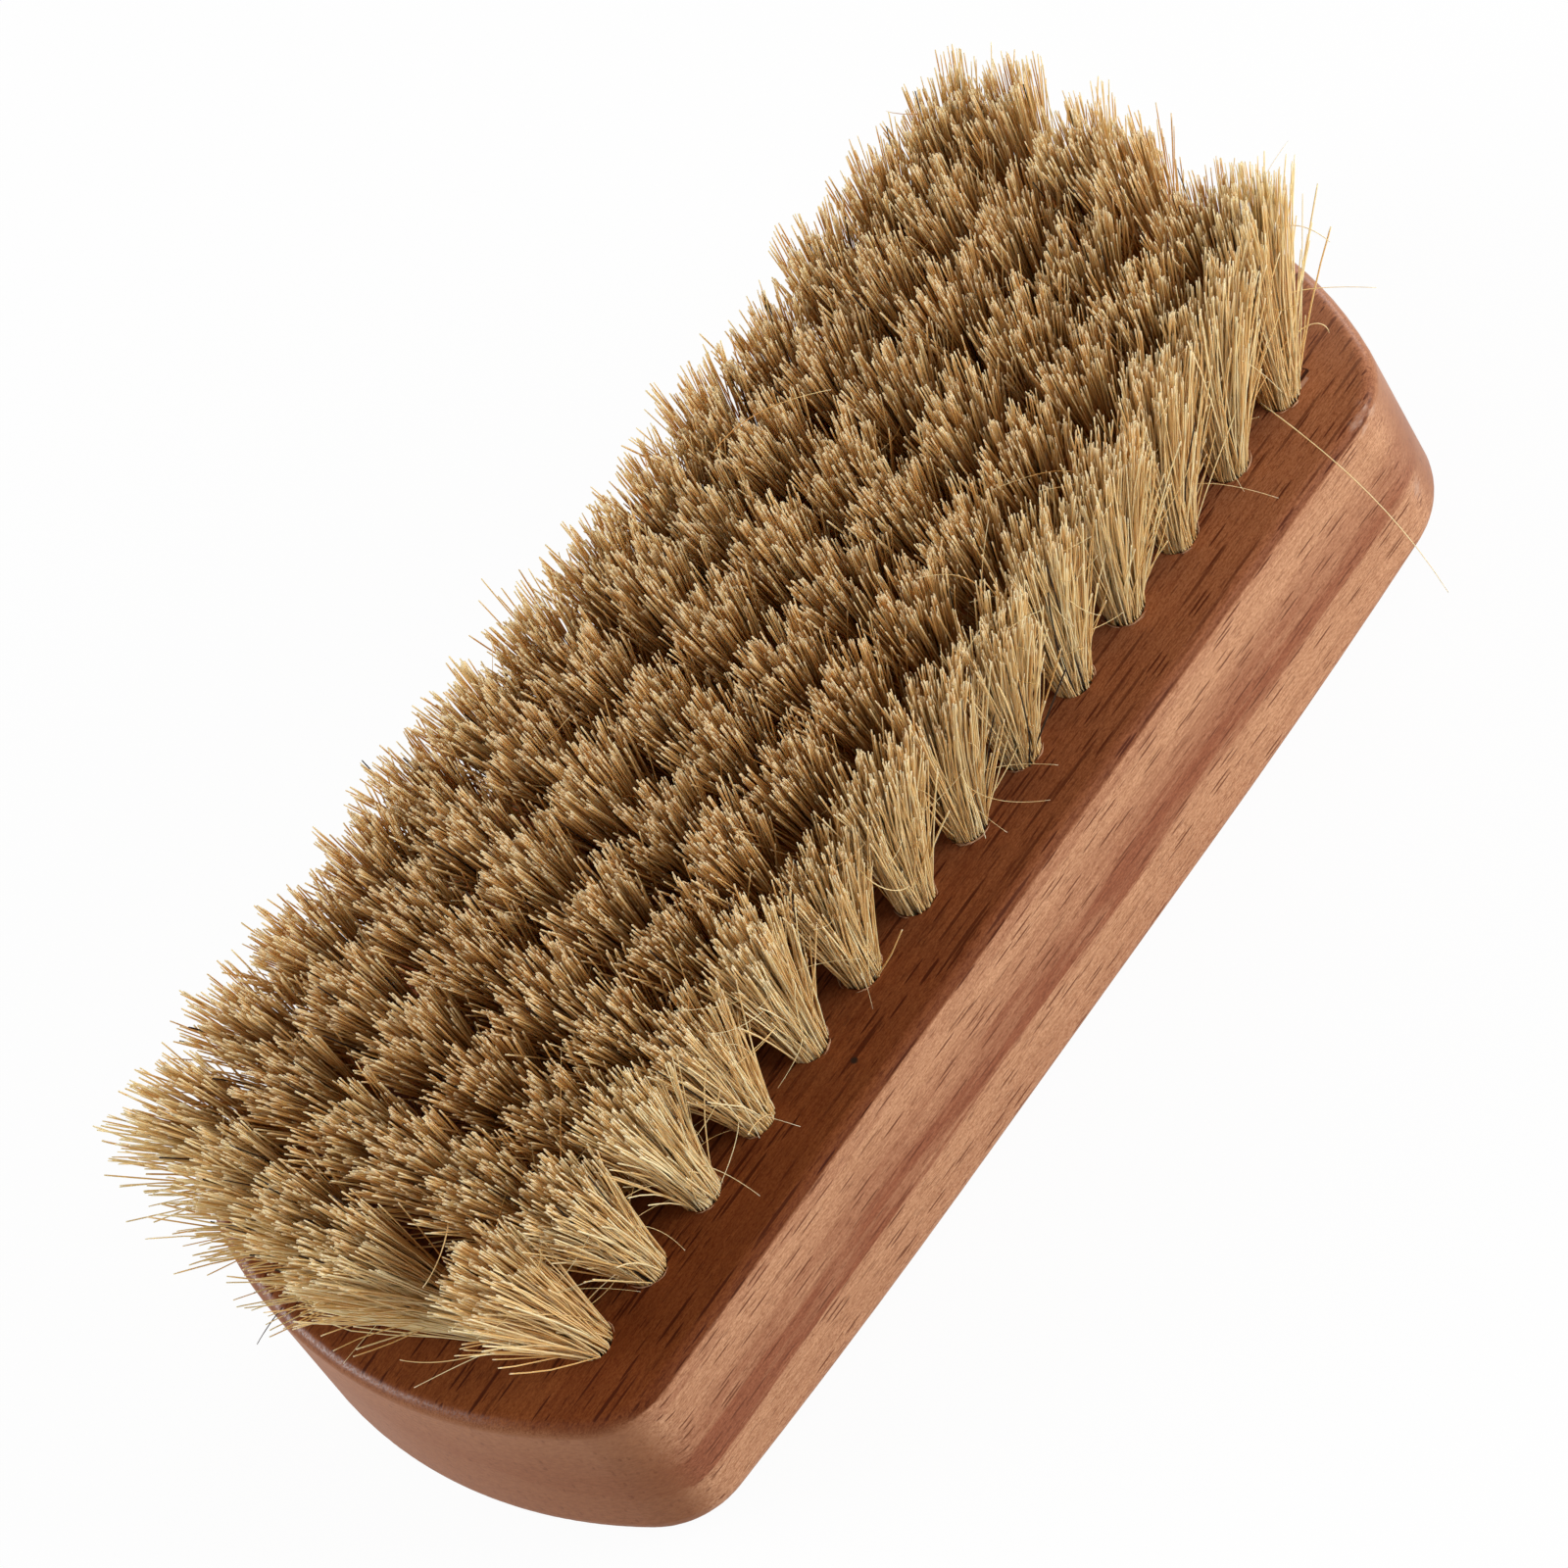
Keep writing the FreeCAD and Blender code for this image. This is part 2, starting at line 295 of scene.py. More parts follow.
LIGHT_WOOD = colour(0.655, 0.36, 0.203)
RING_WOOD = colour(0.345, 0.122, 0.058)
FLECK_WOOD = colour(0.135, 0.038, 0.016)
FINE_SHADE = colour(0.64, 0.54, 0.47)
PORE_SHADE = colour(0.66, 0.55, 0.48)
GRIT_SHADE = colour(0.76, 0.68, 0.62)
# Painted shade: the bristle face is darkened, most towards the near end where the tufts lean over it and
# least at the far end.
NEAR_FACE_PAINTED_SHADE = colour(0.41, 0.232, 0.115)
FAR_FACE_PAINTED_SHADE = colour(0.64, 0.475, 0.379)
# Painted shade on the rounding between the bristle face and the sides.
EDGE_PAINTED_SHADE = colour(0.76, 0.69, 0.65)
END_WOOD = colour(0.305, 0.112, 0.043)
END_DARK = colour(0.225, 0.077, 0.029)
END_PALE = colour(1.16, 1.28, 1.42)
# A pale colour for the rubbed spots, also used as a painted highlight on the splinter's lip.
SCUFF_AND_HIGHLIGHT_WOOD = colour(0.52, 0.37, 0.29)
DOT_WOOD = colour(0.03, 0.016, 0.01)
# Painted shadow in the splits beside the last hole.
SPLIT_SHADOW_WOOD = colour(0.05, 0.016, 0.008)
print("light wood", LIGHT_WOOD[:3], "and dark ring", RING_WOOD[:3])

# %% Rings and flecks
ring_height = math.sqrt(RING_START ** 2 - (HALF_WIDTH + PITH[0]) ** 2) + PITH[1]
print("the sharp edge of the ring crosses the front side about", ring_height, "mm up")


def growth_rings(place):
    """1 just outside a ring's sharp edge, fading to 0 across the ring."""
    x, y, z = place.split()
    wander = WANDER_REACH * (place.stretch(WANDER).noise() - 0.5)
    feather = FEATHER_REACH * (place.stretch(FEATHER).noise(detail=3.0) - 0.5)
    patch = PATCH_LEAST + PATCH_MORE * place.stretch(PATCH).noise(detail=3.0).ease(0.3, 0.62)
    out = (y - PITH[0]) ** 2 + (z - PITH[1] - x * RING_DRIFT) ** 2
    rings = (out ** 0.5 - RING_START + wander + feather) / RING_STEP
    number = rings.calc("FLOOR", rings)
    share = rings - number
    strength = OTHER_RINGS + (1 - OTHER_RINGS) * (1 - abs(number).ease(0.2, 0.8))
    faded = 1 - RING_FADE * x.ease(-20.0, 80.0)
    return (1 - share.ease(0.2, 0.9)) * share.ease(0.0, 0.06) * strength * faded * patch


def flecks(place, fleck):
    """Thin lens shapes along the grain, some strong and some faint."""
    sizes, reach = fleck
    cells = place.stretch(sizes)
    strength = cells.cells("Color").split()[0]
    return (1 - cells.cells().ease(0.72 * reach, reach)) * strength.ease(0.0, 0.45)


# %% Zones of the block
FAR_END = (-70.0, 60.0)
END_DEPTH = (HALF_LENGTH - 3.5, HALF_LENGTH - 0.6)
END_TOP = (FACE - 1.6, FACE - 0.3)
FACE_EDGE = (FACE - 1.15, FACE - 0.75)
SOFT_EDGE = (FACE - 1.9, FACE - 0.1)
ROUNDING = (FACE - 0.9, FACE - 0.02)
FLECK_STOP = (FACE - 0.3, FACE - 0.06)
FRAYED = 0.5
# What this prints as the stain of the bristle face is painted shade.
print("the stain of the bristle face starts at", FACE_EDGE[0], "and the end grain at", END_DEPTH[0])


def block_zones(place, grain):
    """Masks for the far end, the two rounded ends, the bristle face and the rounding beside it."""
    x, y, z = place.split()
    retreat = END_RADIUS - (END_RADIUS ** 2 - y ** 2) ** 0.5
    ends = (abs(x) + retreat).ease(*END_DEPTH)
    crisp = (z + FRAYED * (grain["fibre"] - 0.5)).ease(*FACE_EDGE)
    face = crisp + ends * (z.ease(*SOFT_EDGE) - crisp)
    edge = crisp * (1 - z.ease(*ROUNDING)) * (1 - ends)
    return x.ease(*FAR_END), ends, face, edge


# %% Wood of the sides and the ends
DARK_SHARES = {"fibre": 0.7, "streak": 0.5, "cloud": 0.3}
NEAR_DARK = 0.1
# Every shade has its grain, where it begins and is full, its strength and its colour.
WOOD_SHADES = (
    ("fine", (0.35, 0.75), 0.6, FINE_SHADE),
    ("pores", (0.42, 0.7), 0.85, PORE_SHADE),
    ("grit", (0.42, 0.62), 1.0, GRIT_SHADE),
)
SHORT_STRENGTH = 0.6
FAR_FAINTER = 0.3
DASH_STRENGTH = 0.55
PALE_FROM, PALE_TO = 13.0, 24.0
print(len(WOOD_SHADES), "shades darken the sides, and the ends turn pale above", PALE_FROM)


def side_wood(place, grain, far):
    """Light wood with its growth rings, darkened by fibres, pores and grit."""
    dark = growth_rings(place)
    for name, share in DARK_SHARES.items():
        dark = dark + share * (grain[name] - 0.5)
    dark = dark + NEAR_DARK * (1 - far)
    wood = dark.mix(LIGHT_WOOD, RING_WOOD)
    for name, span, strength, shade in WOOD_SHADES:
        wood = (strength * grain[name].ease(*span)).mix(wood, shade, "MULTIPLY")
    return wood


def ray_cuts(place, far, ends, face):
    """Flecks of three sizes, the longest on the bristle face and none on the ends."""
    cuts = flecks(place, LONG_FLECK)
    cuts = cuts.most(SHORT_STRENGTH * flecks(place, SHORT_FLECK))
    cuts = cuts.most(face * (1 - FAR_FAINTER * far) * flecks(place, FACE_FLECK))
    z = place.split()[2]
    return cuts * (1 - ends * (1 - z.ease(*FLECK_STOP)))


def end_wood(place, grain):
    """The mottled wood across the grain, paler towards the bristle face."""
    wood = grain["mottle"].ease(0.3, 0.75).mix(END_WOOD, END_DARK)
    wood = (DASH_STRENGTH * flecks(place, END_DASH)).mix(wood, FINE_SHADE, "MULTIPLY")
    return place.split()[2].ease(PALE_FROM, PALE_TO).mix(wood, END_PALE, "MULTIPLY")


# %% Wear on the wood, with painted shadow in the splits and a painted highlight on the lip
# Every crack has its two ends and its width.
# The splits are painted dark, as the shadow under the lifted flake.
SPLIT_SHORT = ((63.1, -19.6), (63.3, -20.9), 0.17)
SPLIT_LONG = ((63.3, -20.9), (60.4, -20.8), 0.17)
# The lip is painted pale, as a highlight on the flake's lit edge.
LIP_HIGHLIGHT = ((62.6, -21.3), (61.3, -21.3), 0.3)
CRACK_FADE, CRACK_DEPTH = 0.1, 0.4
# Every spot has its place, how far it is full and where it ends.
SCUFFS = (
    ((62.9, -28.6, 25.7), 0.4, 1.6),
    ((60.6, -29.1, 25.5), 0.4, 1.6),
    ((62.7, -28.5, 9.2), 0.4, 2.0),
)
SCUFF_GRAIN = (1.8, 0.7, 0.7)
SCUFF_AND_HIGHLIGHT_STRENGTH = 0.45
DARK_SPOT = ((-22.3, -25.3, 26.4), 0.25, 0.5)
print(len(SCUFFS), "rubbed spots, and a dark one at", DARK_SPOT[0])


def crack(place, start, end, width):
    """1 on a straight line across the bristle face, 0 beside it."""
    x, y, z = place.split()
    run = Vector(end) - Vector(start)
    ahead = run.normalized()
    along = (x - start[0]) * ahead.x + (y - start[1]) * ahead.y
    off = (x - start[0]) * ahead.y - (y - start[1]) * ahead.x
    thin = 1 - abs(off).ease(0.4 * width, width)
    begun = along.ease(-CRACK_FADE, CRACK_FADE)
    ended = along.ease(run.length - CRACK_FADE, run.length + CRACK_FADE)
    return thin * begun * (1 - ended) * z.ease(FACE - CRACK_DEPTH, FACE)


def worn(place, wood):
    """The wood with its rubbed corner, the split beside the last hole painted as shadow with a painted
    highlight on its lip, and a small dark spot.
    """
    rough = place.stretch(SCUFF_GRAIN).noise(detail=3.0).ease(0.42, 0.66)
    rubbed = rough * sum(place.near(*spot) for spot in SCUFFS)
    # Pale rubbed spots, and a painted highlight on the flake's lip.
    wood = (SCUFF_AND_HIGHLIGHT_STRENGTH * (rubbed + crack(place, *LIP_HIGHLIGHT))).mix(wood, SCUFF_AND_HIGHLIGHT_WOOD)
    # Painted shadow in the splits.
    split = crack(place, *SPLIT_SHORT) + crack(place, *SPLIT_LONG)
    wood = split.mix(wood, SPLIT_SHADOW_WOOD)
    return place.near(*DARK_SPOT).mix(wood, DOT_WOOD)


# %% Lacquer on the wood
# The glint rises over the first span of heights and ends over the second.
GLINT_LOW = (FACE - 0.85, FACE - 0.4)
GLINT_HIGH = (FACE - 0.14, FACE - 0.02)
GLINT_FADE = (-20.0, -12.0)
FAR_GLOSS = (58.0, 73.0)
FILM, GLINT_STRENGTH, GLOSS_STRENGTH = 0.04, 0.9, 0.4
print("the near rounding glints from", GLINT_LOW[0], "to", GLINT_HIGH[1])


def lacquer(place, grain, far, ends):
    """How thick the lacquer looks: a thin film, a glint on the near rounding and a glossier far end."""
    x, y, z = place.split()
    band = z.ease(*GLINT_LOW) * (1 - z.ease(*GLINT_HIGH))
    glint = ends * band * (1 - far)
    glint = glint * (0.15 + 0.85 * y.ease(*GLINT_FADE))
    glint = glint * (0.25 + 0.75 * grain["fine"].ease(0.4, 0.6))
    return FILM + GLINT_STRENGTH * glint + GLOSS_STRENGTH * x.ease(*FAR_GLOSS)


# %% Wood material
FLECK_STRENGTH = 0.9
END_STRENGTH = 0.9
GRAIN_DEPTH = 0.06 * MM


def lacquered_beech():
    material, shader, place = new_material("lacquered_beech")
    grain = {name: place.stretch(sizes).noise(*kind) for name, (sizes, *kind) in GRAIN.items()}
    far, ends, face, edge = block_zones(place, grain)
    cuts = ray_cuts(place, far, ends, face)
    wood = (FLECK_STRENGTH * cuts).mix(side_wood(place, grain, far), FLECK_WOOD)
    end = ends * (1 - place.split()[2].ease(*END_TOP))
    wood = (END_STRENGTH * end).mix(wood, end_wood(place, grain))
    # Painted shade on the bristle face, darker towards the near end.
    wood = face.mix(wood, (far ** 1.5).mix(NEAR_FACE_PAINTED_SHADE, FAR_FACE_PAINTED_SHADE), "MULTIPLY")
    # Painted shade darkens the rounding beside the bristle face.
    wood = edge.mix(wood, EDGE_PAINTED_SHADE, "MULTIPLY")
    feed(shader, Base_Color=worn(place, wood), Roughness=0.44 + 0.12 * grain["cloud"] + 0.15 * cuts)
    feed(shader, Coat_Weight=lacquer(place, grain, far, ends))
    relief = grain["fine"] * 0.4 + grain["fibre"] * 0.3 + grain["pores"] * 0.5 - cuts
    bump = {"Strength": 0.35, "Distance": GRAIN_DEPTH, "Height": relief}
    feed(shader, Normal=place.node("ShaderNodeBump", None, bump))
    constant(shader, Specular_IOR_Level=0.07, Coat_Roughness=0.3)
    return material


wood_material = lacquered_beech()
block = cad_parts["brush_block"]
block.material_slots[0].material = wood_material
print("wood on", block.name, "with", len(wood_material.node_tree.nodes), "nodes")

# %% [markdown]
# ## The anchors
# A flat wire staple holds each tuft down in its hole. It is drawn steel, so the metal carries faint
# lines along the strip. Nobody sees it until the brush comes apart, so the material stays simple.

# %% Anchor wire
WIRE_LINES = (3.0, 0.05, 0.05)
DARK_STEEL = colour(0.42, 0.41, 0.39)
BRIGHT_STEEL = colour(0.62, 0.61, 0.58)


def drawn_wire():
    material, shader, place = new_material("drawn_wire")
    lines = place.stretch(WIRE_LINES).noise()
    feed(shader, Base_Color=lines.mix(DARK_STEEL, BRIGHT_STEEL), Roughness=0.25 + 0.3 * lines)
    constant(shader, Metallic=1.0)
    return material


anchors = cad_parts["tuft_anchors"]
anchors.material_slots[0].material = drawn_wire()
print("wire on", anchors.name)

# %% [markdown]
# ## One bristle
# A bristle is a thin rod. A cone with its sides cut into rings is enough, and the rings are what lets it
# bend. It is modelled once, standing up with unit length and unit radius. A flat map lays its four sides
# next to each other, so that every bristle can carry paint of its own.

# %% The bristle that all the others copy
SIDES = 4
PAINT_MAP = "OFBake"


def flat_map(bm):
    """Unroll the sides of an upright rod and press its two caps into the same field."""
    layer = bm.loops.layers.uv.new(PAINT_MAP)
    for face in bm.faces:
        middle = face.calc_center_median()
        turn = math.atan2(middle.y, middle.x) / (2 * math.pi)
        for loop in face.loops:
            corner = loop.vert.co
            if abs(face.normal.z) > 0.5:
                loop[layer].uv = (0.5 + 0.4 * corner.x, corner.z)
                continue
            away = math.atan2(corner.y, corner.x) / (2 * math.pi) - turn
            loop[layer].uv = (0.5 + turn + away - round(away), corner.z)


def straight_bristle(rings):
    """An upright rod with a given number of rings of corners."""
    bm = bmesh.new()
    bmesh.ops.create_cone(bm, cap_ends=True, cap_tris=False, segments=SIDES, radius1=1, radius2=1, depth=1)
    bmesh.ops.translate(bm, verts=bm.verts, vec=(0, 0, 0.5))
    upright = [edge for edge in bm.edges if abs(edge.verts[0].co.z - edge.verts[1].co.z) > 0.5]
    bmesh.ops.subdivide_edges(bm, edges=upright, cuts=rings - 2, use_grid_fill=True)
    flat_map(bm)
    mesh = bpy.data.meshes.new("straight_bristle")
    bm.to_mesh(mesh)
    bm.free()
    return mesh


TUFT_RINGS = 7
HAIR_RINGS = 14
tuft_bristle = straight_bristle(TUFT_RINGS)
loose_bristle = straight_bristle(HAIR_RINGS)
print("a tuft's bristle has", len(tuft_bristle.polygons), "faces, a loose one", len(loose_bristle.polygons))

# %% [markdown]
# ## Many bristles
# Copying a bristle thousands of times by hand would be slow, so an Array modifier makes all the copies of
# one piece at once. Array maths then carries every ring of every copy to its place on that bristle's
# own path. Each bristle keeps a random tone and knows how far inside the brush its tip lies, and each
# point knows how far along the bristle it is.

# %% Copies of one bristle
PAINT_MARGIN = 0.05
print("every bristle keeps", PAINT_MARGIN, "of its field of paint as a margin on each side")


def copies(mesh, count):
    """The mesh repeated on the spot, as one new mesh."""
    model = bpy.data.objects.new("model", mesh)
    scene.collection.objects.link(model)
    array = model.modifiers.new("array", "ARRAY")
    array.count = count
    array.use_relative_offset = False
    shown = model.evaluated_get(bpy.context.evaluated_depsgraph_get())
    repeated = bpy.data.meshes.new_from_object(shown)
    bpy.data.objects.remove(model)
    return repeated


def spread_paint(mesh, count):
    """Give every copy its own small field of the paint map."""
    across = math.ceil(math.sqrt(count))
    layer = mesh.uv_layers[PAINT_MAP]
    flat = np.empty(len(mesh.loops) * 2)
    layer.uv.foreach_get("vector", flat)
    flat = flat.reshape(count, -1, 2)
    corner = np.stack((np.arange(count) % across, np.arange(count) // across), axis=1)
    flat = (corner[:, None] + PAINT_MARGIN + (1 - 2 * PAINT_MARGIN) * flat) / across
    layer.uv.foreach_set("vector", flat.astype(np.float32).ravel())


# %% Bristles laid along paths
OUTLINE = np.array((72.0, 24.0))
OUTER_DEPTH = 9.0
SIDEWAYS = (0.0, 1.0, 0.001)
print("bristles count fully as inner ones", OUTER_DEPTH, "mm inside half sizes of", OUTLINE)


def unit(vectors):
    """The same directions with a length of one."""
    return vectors / np.linalg.norm(vectors, axis=-1, keepdims=True)


def label_points(mesh, values):
    """Write numbers on the points of a mesh, under their names."""
    for title, numbers in values.items():
        attribute = mesh.attributes.new(title, "FLOAT", "POINT")
        attribute.data.foreach_set("value", numbers.astype(np.float32))


def lay_bristles(name, model, shares, paths, radii, tones, material):
    """A piece of bristles whose rings follow paths, an array of bristles by rings by three."""
    count = len(paths)
    corners = np.empty(len(model.vertices) * 3)
    model.vertices.foreach_get("co", corners)
    corners = corners.reshape(-1, 3)
    # The height of a corner on the upright rod tells which ring it belongs to.
    ring = np.rint(corners[:, 2] * (len(shares) - 1)).astype(int)
    run = unit(np.gradient(paths, axis=1))
    side = unit(np.cross(run, SIDEWAYS))
    other = np.cross(run, side)
    # Each ring is carried to its path and turned square to it.
    thick = radii[:, ring, None]
    places = paths[:, ring] + thick * (side[:, ring] * corners[:, :1] + other[:, ring] * corners[:, 1:2])
    mesh = copies(model, count)
    mesh.name = name
    mesh.vertices.foreach_set("co", (places * MM).astype(np.float32).ravel())
    tips = paths[:, -1]
    inside = np.minimum(OUTLINE[0] - abs(tips[:, 0]), OUTLINE[1] + tips[:, 1])
    inner = np.clip(inside / OUTER_DEPTH, 0, 1)
    label_points(mesh, {
        "tone": np.repeat(tones, len(corners)),
        "inner": np.repeat(inner, len(corners)),
        "along": np.tile(shares[ring], count),
    })
    spread_paint(mesh, count)
    mesh.shade_smooth()
    mesh.materials.clear()
    mesh.materials.append(material)
    mesh.update()
    piece = bpy.data.objects.new(name, mesh)
    scene.collection.objects.link(piece)
    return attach(piece, "root")


# %% [markdown]
# ## The finish of the bristles
# Bleached hog bristle is straw coloured, a little different on every hair. The trimmed ends are blunt and
# split, so they scatter more light and look pale. Deep in the brush the hairs are painted warmer and
# browner, darkest towards their roots, as painted shade for the light that is lost and warmed between them.
# About one hair in a hundred stays dark.

# %% Bristle material
DEEP_STRAW = colour(0.63, 0.378, 0.138)
STRAW = colour(0.83, 0.573, 0.263)
PALE_STRAW = colour(0.94, 0.745, 0.42)
# Painted shade: bristles inside the brush are warmer, and darker towards their roots.
INNER_PAINTED_SHADE = colour(1.0, 0.945, 0.855)
DEPTH_PAINTED_SHADE = colour(0.72, 0.5, 0.3)
SPLIT_TIP = colour(0.93, 0.775, 0.52)
TIP_STRENGTH = 0.55
DARK_HAIR = colour(0.045, 0.03, 0.022)
DARK_FROM = (0.9895, 0.99)
BLOTCH = (1.2, 1.2, 3.0)
GLOW_DEPTH = 0.15 * MM


def straw_bristle():
    material, shader, place = new_material("straw_bristle")
    tone = place.named("tone")
    along = place.named("along")
    inner = place.named("inner")
    blotch = place.stretch(BLOTCH).noise(detail=1.0)
    light = tone * 1.02 + 0.3 * (blotch - 0.5)
    straw = light.ease(0.0, 0.6).mix(DEEP_STRAW, STRAW)
    straw = light.ease(0.55, 1.0).mix(straw, PALE_STRAW)
    # Painted shade for the light lost and warmed between the hairs deep in the brush, darkest towards the
    # roots.
    straw = inner.mix(straw, INNER_PAINTED_SHADE, "MULTIPLY")
    straw = (inner * (1 - along.ease(0.5, 0.97))).mix(straw, DEPTH_PAINTED_SHADE, "MULTIPLY")
    straw = (TIP_STRENGTH * along.ease(0.95, 0.985)).mix(straw, SPLIT_TIP)
    straw = tone.ease(*DARK_FROM).mix(straw, DARK_HAIR)
    feed(shader, Base_Color=straw, Roughness=0.45 + 0.2 * blotch)
    constant(shader, Specular_IOR_Level=0.06, Subsurface_Weight=0.6)
    constant(shader, Subsurface_Radius=(1.0, 1.0, 1.0), Subsurface_Scale=GLOW_DEPTH)
    return material


bristle_material = straw_bristle()
print("bristle material with", len(bristle_material.node_tree.nodes), "nodes")

# %% [markdown]
# ## The tufts
# The anchors tell where the holes are. In its hole a tuft is a tight round bundle. Above the face the
# bristles fan out to the trimmed tips, where they gather in small clumps of a few hairs.
# The tufts at the ends lean outwards, and the front row is combed a little towards the far end.
# Two tufts stand out: one in the front row is short, and one at the near end lies almost flat.

# %% Where the holes are
ROWS, COLUMNS = 6, 14
anchor_points = np.array([vertex.co for vertex in anchors.data.vertices]).reshape(ROWS * COLUMNS, -1, 3)
centres = anchor_points.mean(axis=1)[:, :2] / MM
# Rows run from the front to the back, and holes in a row from the near end to the far end.
centres = centres[np.argsort(np.round(centres[:, 1], 2), kind="stable")].reshape(ROWS, COLUMNS, 2)
holes = np.stack([row[np.argsort(row[:, 0])] for row in centres])
TRIM = cad_high.z / MM
print("front row of holes from", holes[0, 0], "to", holes[0, -1], "and trimmed at", TRIM)

# %% How each tuft leans
FRONT, BACK = 0, ROWS - 1
SHORT_TUFT, FLAT_TUFT = (FRONT, 5), (1, 0)
# The odd tufts have their lean along X and Y and how much lower they end.
ODD_TUFTS = {SHORT_TUFT: (1.2, -1.8, 2.4), FLAT_TUFT: (-7.6, 17.5, 13.0)}
FAN_ALONG, FAN_OFFSET, NEAR_DROOP, DROOP_FROM = 3.6, -0.3, 10.0, 0.5
FAN_ACROSS, COMBED, COMBED_AT, COMBED_WIDTH = 1.8, 1.3, 0.4, 0.25
FRONT_FAN, FRONT_OFFSET, FRONT_COMBED, FRONT_WIDTH = 6.0, 1.8, 1.5, 0.2
FRONT_OUT, FRONT_ENDS_BACK = -2.8, 3.0
BACK_NEAR, BACK_FAR = 2.0, 0.4
PARTED, PARTED_FROM = 0.9, 0.75


def along_block(column):
    """Where a column stands, from -1 at the near end to 1 at the far end."""
    return 2 * column / (COLUMNS - 1) - 1


def lean(row, column):
    """How far the tips of one tuft stand away from its hole, along X and Y."""
    if (row, column) in ODD_TUFTS:
        return np.array(ODD_TUFTS[row, column][:2])
    u = along_block(column)
    v = 2 * row / (ROWS - 1) - 1
    along = FAN_ALONG * u + FAN_OFFSET - NEAR_DROOP * max(0.0, -u - DROOP_FROM) ** 2
    across = FAN_ACROSS * v + COMBED * math.exp(-((v - COMBED_AT) / COMBED_WIDTH) ** 2)
    if row == FRONT:
        along = FRONT_FAN * u + FRONT_OFFSET + FRONT_COMBED * math.exp(-(u / FRONT_WIDTH) ** 2)
        across = FRONT_OUT + FRONT_ENDS_BACK * u * u
    if row == BACK:
        across = BACK_NEAR if u < 0 else BACK_FAR
    # At the far end the rows draw together in pairs.
    parted = PARTED * max(0.0, (u - PARTED_FROM) / (1 - PARTED_FROM))
    across += parted if row % 2 == 0 else -parted
    return np.array((along, across))


print("the near and the far tuft of the front row lean", lean(FRONT, 0), "and", lean(FRONT, COLUMNS - 1))

# %% How pale each tuft is
# Painted light: tufts are painted paler where the lamps light them, at the ends of the front row, towards
# the far end, at the very near end and in the back row, and the flat tuft most of all.
FLAT_PALE = 0.5
FRONT_PALE, FRONT_ENDS_PALE = 0.03, 0.18
INNER_PALE, FAR_PALE = -0.08, 0.1
NEAR_PALE, NEAR_FROM = 0.34, 0.7
BACK_PALE = 0.12


def paler(row, column):
    """How much paler than usual the hairs of one tuft are painted, for the light that falls on it."""
    u = along_block(column)
    if (row, column) == FLAT_TUFT:
        return FLAT_PALE
    if row == FRONT:
        return FRONT_ENDS_PALE * u * u + FRONT_PALE
    near_end = max(0.0, (-u - NEAR_FROM) / (1 - NEAR_FROM))
    return FAR_PALE * u + INNER_PALE + NEAR_PALE * near_end + (BACK_PALE if row == BACK else 0.0)


print("the front row is paler by", [round(paler(FRONT, column), 2) for column in range(COLUMNS)])

# %% Sizes of a tuft in millimetres, and shares of its bristles
BRISTLES = 380
REACH = np.array((-0.35, 0.015, 0.28, 0.55, 0.8, 0.975, 1.0))
TAPER = np.array((1.0, 1.0, 1.0, 0.98, 0.95, 0.95, 0.92))
ROOT_RADIUS = 1.9
MOUTH_RADIUS = 2.28
ROOT_DEPTH = 8.6
TIP_HALF = np.array((6.5, 4.1))
BACK_HALF = np.array((7.4, 4.9))
FLAT_HALF = np.array((3.0, 4.6))
BRISTLE_RADIUS = 0.092
WISPS, WISP_DROP, WISP_UNEVEN = 60, -0.4, 1.4
DOME, UNEVEN = 0.7, 0.28
TIP_SPREAD, TIP_JITTER = 0.75, 0.26
GATHER = (0.1, 0.85)
SPLAYED, SPLAY = 0.05, (1.1, 1.5)
SHORT, SHORTER_BY, SHORTEST = 0.55, 3.4, 14.0
ABOVE_TRIM = (0.3, 0.3)
FLUNG_OUT, FLUNG_HEIGHT, FLUNG_SIDE = 3.0, (0.45, 0.95), 0.2
STRAIGHT, STRAIGHT_UNEVEN = 0.8, 0.18
WAVE, WAVE_TURNS = 0.25, 4.2
print("a tuft holds", BRISTLES, "bristles in", WISPS, "wisps")

# %% One tuft of bristles
filled = BRISTLES * BRISTLE_RADIUS ** 2 / MOUTH_RADIUS ** 2
print("the bristles fill", round(filled, 2), "of the mouth of a hole")


